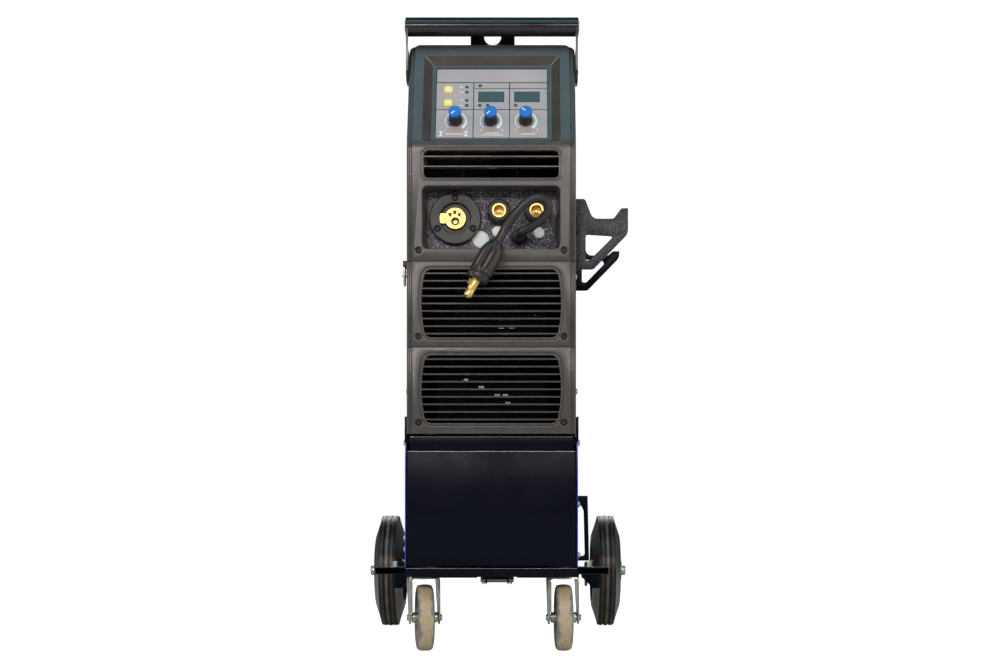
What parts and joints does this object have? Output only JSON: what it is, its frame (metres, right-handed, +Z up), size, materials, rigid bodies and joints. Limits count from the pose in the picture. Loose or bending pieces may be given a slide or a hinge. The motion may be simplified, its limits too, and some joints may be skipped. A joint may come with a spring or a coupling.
{
  "type": "wire-feed welding machine on a cart",
  "caption": "Wire-feed welding machine in a tall black housing with louvred fronts, tilted control panel, cable sockets and carry bar, on a wheeled cart with a gas cylinder platform.",
  "frame": {"origin": "on the floor, midway between the two rear wheels across and at the middle of the length, at the bottom of the wheels", "axes": "+X to the right as seen from the control panel side, +Y from the control panel to the gas cylinder platform, +Z up"},
  "size_m": [0.472, 0.8115, 0.955],
  "materials": {
    "black_paint": "glossy black powder coat",
    "blue_paint": "blue powder coat",
    "speckle_paint": "dark grey hammertone powder coat",
    "black_plastic": "satin moulded black plastic",
    "label": "printed silver-grey label film",
    "blue_plastic": "blue knob cap",
    "yellow_plastic": "yellow key",
    "brass": "machined brass",
    "zinc": "zinc-plated steel",
    "rubber": "black rubber",
    "grey_rubber": "grey rubber with a worn tread",
    "aluminium": "cast aluminium",
    "wire": "copper-coated steel wire on a reel"
  },
  "bodies": {
    "cart": {"back_panel": "black_paint", "bezel_lower": "black_plastic", "bezel_middle": "black_plastic", "bezel_upper": "black_plastic", "cabinet_frame": "black_paint", "cabinet_front": "black_paint", "cabinet_side_l": "blue_paint", "cabinet_side_r": "blue_paint", "cable_hook_front": "speckle_paint", "cable_hook_rear": "speckle_paint", "carry_handle": "black_paint", "caster_plate_l": "zinc", "caster_plate_r": "zinc", "centre_divider": "black_paint", "chassis_tray": "black_paint", "connector_plate": "speckle_paint", "control_panel": "label", "cylinder_cradle": "black_paint", "feed_motor": "black_paint", "feeder_plate": "aluminium", "gas_inlet": "brass", "inverter_unit": "aluminium", "lead_gland": "black_plastic", "lead_plug": "rubber", "lead_plug_pin": "brass", "lifting_lug": "black_paint", "machine_base": "black_paint", "mains_gland": "black_plastic", "polarity_lead": "rubber", "power_socket_l": "black_plastic", "power_socket_r": "black_plastic", "rear_axle": "zinc", "rear_cross_bar": "black_paint", "side_bracket": "black_paint", "side_cover_l": "black_paint", "side_cover_r": "black_paint", "spool_hub": "black_plastic", "top_cover": "black_paint", "torch_socket": "black_plastic", "tow_pin": "zinc"},
    "knob_l": {"knob_l": "blue_plastic"},
    "knob_m": {"knob_m": "blue_plastic"},
    "knob_r": {"knob_r": "blue_plastic"},
    "mode_button_1": {"mode_button_1": "yellow_plastic"},
    "mode_button_2": {"mode_button_2": "yellow_plastic"},
    "spool_door": {"spool_door": "black_paint", "latch_bracket": "zinc"},
    "latch_lever": {"latch_lever": "zinc"},
    "wire_spool": {"wire_spool": "wire"},
    "drive_roll": {"drive_roll": "zinc"},
    "pressure_arm": {"pressure_arm": "aluminium"},
    "pressure_roll": {"pressure_roll": "zinc"},
    "cooling_fan": {"cooling_fan": "black_plastic"},
    "power_switch": {"power_switch": "black_plastic"},
    "caster_fork_l": {"caster_fork_l": "zinc"},
    "caster_fork_r": {"caster_fork_r": "zinc"},
    "caster_wheel_l": {"caster_wheel_l": "grey_rubber"},
    "caster_wheel_r": {"caster_wheel_r": "grey_rubber"},
    "rear_wheel_l": {"rear_wheel_l": "rubber"},
    "rear_wheel_r": {"rear_wheel_r": "rubber"}
  },
  "joints": [
    {"name": "knob_l_turn", "type": "hinge", "parent": "cart", "child": "knob_l", "pos_m": [-0.0536, -0.35391, 0.78902], "axis": [0, -0.9272, 0.3746], "range_deg": [-285, 15]},
    {"name": "knob_m_turn", "type": "hinge", "parent": "cart", "child": "knob_m", "pos_m": [-0.0013, -0.35391, 0.78902], "axis": [0, -0.9272, 0.3746], "range_deg": [-285, 15]},
    {"name": "knob_r_turn", "type": "hinge", "parent": "cart", "child": "knob_r", "pos_m": [0.0507, -0.35391, 0.78902], "axis": [0, -0.9272, 0.3746], "range_deg": [-195, 105]},
    {"name": "mode_button_1_press", "type": "slide", "parent": "cart", "child": "mode_button_1", "axis": [0, 0.9272, -0.3746], "range_m": [0, 0.0012], "stiffness_N_per_m": 300, "springref_m": -0.002},
    {"name": "mode_button_2_press", "type": "slide", "parent": "cart", "child": "mode_button_2", "axis": [0, 0.9272, -0.3746], "range_m": [0, 0.0012], "stiffness_N_per_m": 300, "springref_m": -0.002},
    {"name": "spool_door_open", "type": "hinge", "parent": "cart", "child": "spool_door", "pos_m": [-0.1252, -0.11915, 0.888], "axis": [0, 1, 0], "range_deg": [0, 100]},
    {"name": "latch_lever_lift", "type": "hinge", "parent": "spool_door", "child": "latch_lever", "pos_m": [-0.133, -0.30315, 0.583], "axis": [0, 1, 0], "range_deg": [0, 75]},
    {"name": "wire_spool_spin", "type": "hinge", "parent": "cart", "child": "wire_spool", "pos_m": [-0.053, -0.04915, 0.74], "axis": [1, 0, 0], "continuous": true},
    {"name": "drive_roll_spin", "type": "hinge", "parent": "cart", "child": "drive_roll", "pos_m": [-0.02, -0.23915, 0.64], "axis": [1, 0, 0], "continuous": true},
    {"name": "pressure_arm_lift", "type": "hinge", "parent": "cart", "child": "pressure_arm", "pos_m": [-0.01, -0.21115, 0.69], "axis": [-1, 0, 0], "range_deg": [0, 60]},
    {"name": "pressure_roll_spin", "type": "hinge", "parent": "pressure_arm", "child": "pressure_roll", "pos_m": [-0.02, -0.23915, 0.671], "axis": [1, 0, 0], "continuous": true},
    {"name": "cooling_fan_spin", "type": "hinge", "parent": "cart", "child": "cooling_fan", "pos_m": [0, 0.11085, 0.4075], "axis": [0, 1, 0], "continuous": true},
    {"name": "power_switch_rock", "type": "hinge", "parent": "cart", "child": "power_switch", "pos_m": [-0.086, 0.13845, 0.855], "axis": [1, 0, 0], "range_deg": [-16, 0]},
    {"name": "caster_l_swivel", "type": "hinge", "parent": "cart", "child": "caster_fork_l", "pos_m": [-0.106, -0.29215, 0.06], "axis": [0, 0, 1], "continuous": true},
    {"name": "caster_l_roll", "type": "hinge", "parent": "caster_fork_l", "child": "caster_wheel_l", "pos_m": [-0.10155, -0.32384, 0.05], "axis": [0.9903, 0.1392, 0], "continuous": true},
    {"name": "rear_wheel_l_roll", "type": "hinge", "parent": "cart", "child": "rear_wheel_l", "pos_m": [-0.198, 0.20885, 0.1016], "axis": [1, 0, 0], "continuous": true},
    {"name": "caster_r_swivel", "type": "hinge", "parent": "cart", "child": "caster_fork_r", "pos_m": [0.106, -0.29215, 0.06], "axis": [0, 0, 1], "continuous": true},
    {"name": "caster_r_roll", "type": "hinge", "parent": "caster_fork_r", "child": "caster_wheel_r", "pos_m": [0.1074, -0.32412, 0.05], "axis": [0.999, 0.0436, 0], "continuous": true},
    {"name": "rear_wheel_r_roll", "type": "hinge", "parent": "cart", "child": "rear_wheel_r", "pos_m": [0.198, 0.20885, 0.1016], "axis": [1, 0, 0], "continuous": true}
  ],
  "couplings": [
    {"joint": "pressure_roll_spin", "follows": "drive_roll_spin", "ratio": -0.95395}
  ]
}
